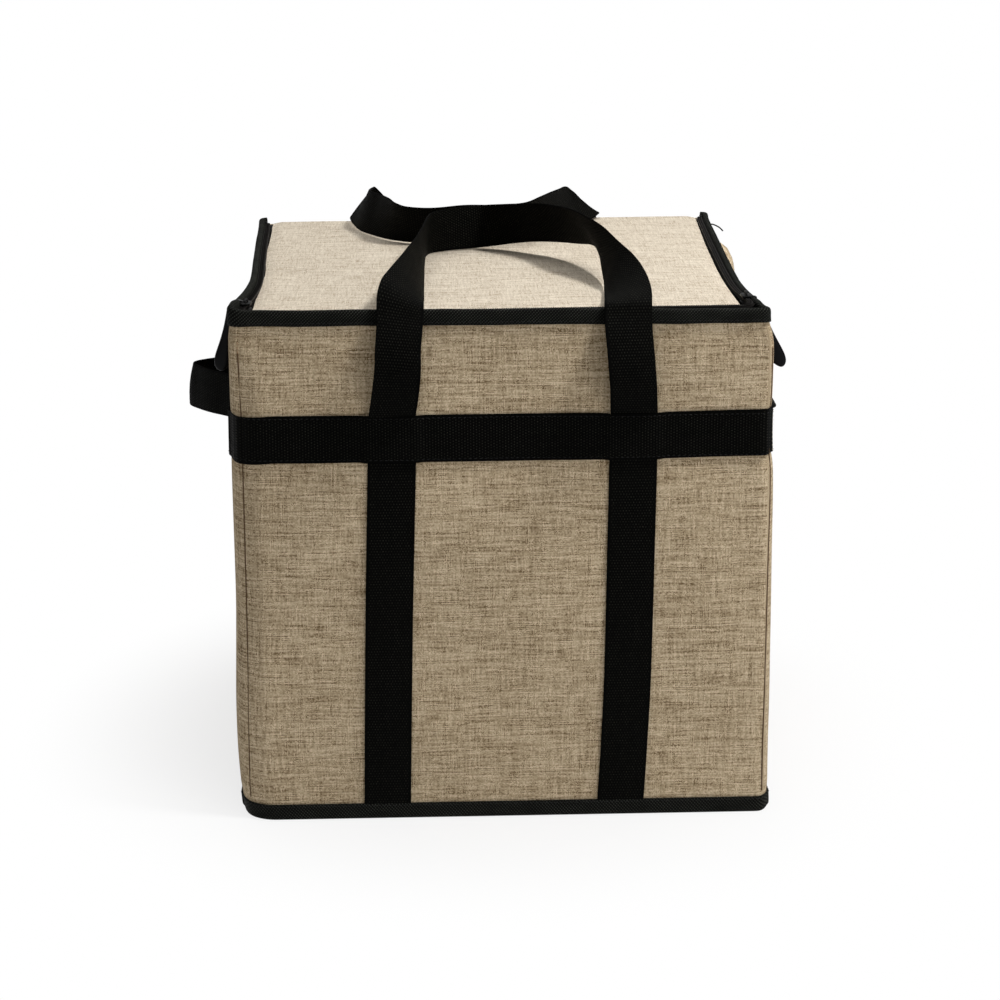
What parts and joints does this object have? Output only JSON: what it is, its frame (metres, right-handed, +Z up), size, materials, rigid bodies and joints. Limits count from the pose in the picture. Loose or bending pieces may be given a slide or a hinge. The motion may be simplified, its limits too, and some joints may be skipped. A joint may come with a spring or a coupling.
{
  "type": "insulated bag",
  "caption": "Square insulated bag with stiff foam walls, a hinged lid closed by a zip, two carrying loops over the lid, two side grab loops and a webbing band with straps.",
  "frame": {"origin": "centre of the base, on the surface that the bag stands on", "axes": "+Z up, the front with its two straps faces -Y, +X to the right seen from the front, the lid hinges along the back edge at +Y"},
  "size_m": [0.4711, 0.3972, 0.4251],
  "materials": {
    "fabric": "matt slubby plain weave in beige and grey-brown yarns",
    "foam": "white closed-cell foam sheet",
    "foil_lining": "silver foil film, softly creased",
    "base_board": "plain plastic stiffener board",
    "binding": "matt black twill tape",
    "webbing": "black woven webbing with a slight sheen",
    "zip_tape": "dark woven zip tape",
    "zip_coil": "black coil, semi-gloss",
    "black_metal": "black lacquered metal",
    "moulded_grip": "glossy moulded black"
  },
  "bodies": {
    "bag_body": {"front_panel": "fabric", "back_panel": "fabric", "left_panel": "fabric", "right_panel": "fabric", "base_panel": "fabric", "front_foam": "foam", "back_foam": "foam", "left_foam": "foam", "right_foam": "foam", "base_foam": "foam", "base_board": "base_board", "front_lining": "foil_lining", "back_lining": "foil_lining", "left_lining": "foil_lining", "right_lining": "foil_lining", "base_lining": "foil_lining", "front_rim_binding": "binding", "left_rim_binding": "binding", "right_rim_binding": "binding", "base_binding": "binding", "webbing_band": "webbing", "front_left_strap": "webbing", "front_right_strap": "webbing", "back_left_strap": "webbing", "back_right_strap": "webbing", "left_handle_front_tab": "webbing", "left_handle_rear_tab": "webbing", "right_handle_front_tab": "webbing", "right_handle_rear_tab": "webbing", "body_zip_tape": "zip_tape", "body_zip_coil": "zip_coil", "left_zip_stop": "black_metal", "right_zip_stop": "black_metal"},
    "lid": {"lid_panel": "fabric", "lid_foam": "foam", "lid_lining": "foil_lining", "lid_zip_tape": "zip_tape", "lid_zip_coil": "zip_coil"},
    "front_handle": {"front_handle": "webbing"},
    "back_handle": {"back_handle": "webbing"},
    "left_side_handle": {"left_side_handle": "webbing"},
    "right_side_handle": {"right_side_handle": "webbing"},
    "left_zip_slider": {"left_zip_slider": "black_metal"},
    "right_zip_slider": {"right_zip_slider": "black_metal"},
    "left_pull": {"left_pull_link": "black_metal", "left_pull_grip": "moulded_grip"},
    "right_pull": {"right_pull_link": "black_metal", "right_pull_grip": "moulded_grip"}
  },
  "joints": [
    {"name": "lid_hinge", "type": "hinge", "parent": "bag_body", "child": "lid", "pos_m": [0, 0.195, 0.3875], "axis": [-1, 0, 0], "range_deg": [0, 105]},
    {"name": "front_handle_swing", "type": "hinge", "parent": "bag_body", "child": "front_handle", "pos_m": [0, -0.19735, 0.39135], "axis": [1, 0, 0], "range_deg": [0, 210]},
    {"name": "back_handle_swing", "type": "hinge", "parent": "lid", "child": "back_handle", "pos_m": [0, 0.195, 0.3875], "axis": [-1, 0, 0], "range_deg": [0, 65]},
    {"name": "left_handle_swing", "type": "hinge", "parent": "bag_body", "child": "left_side_handle", "pos_m": [-0.19785, -0.0155, 0.312], "axis": [0, 1, 0], "range_deg": [0, 80]},
    {"name": "right_handle_swing", "type": "hinge", "parent": "bag_body", "child": "right_side_handle", "pos_m": [0.19785, -0.0155, 0.312], "axis": [0, -1, 0], "range_deg": [0, 80]},
    {"name": "left_zip_slide", "type": "slide", "parent": "bag_body", "child": "left_zip_slider", "axis": [0, 1, 0], "range_m": [0, 0.33]},
    {"name": "right_zip_slide", "type": "slide", "parent": "bag_body", "child": "right_zip_slider", "axis": [0, 1, 0], "range_m": [0, 0.33]},
    {"name": "left_pull_swing", "type": "hinge", "parent": "left_zip_slider", "child": "left_pull", "pos_m": [-0.1817, -0.162, 0.39285], "axis": [0, 1, 0], "range_deg": [0, 120]},
    {"name": "right_pull_swing", "type": "hinge", "parent": "right_zip_slider", "child": "right_pull", "pos_m": [0.1817, -0.162, 0.39285], "axis": [0, -1, 0], "range_deg": [0, 120]}
  ]
}
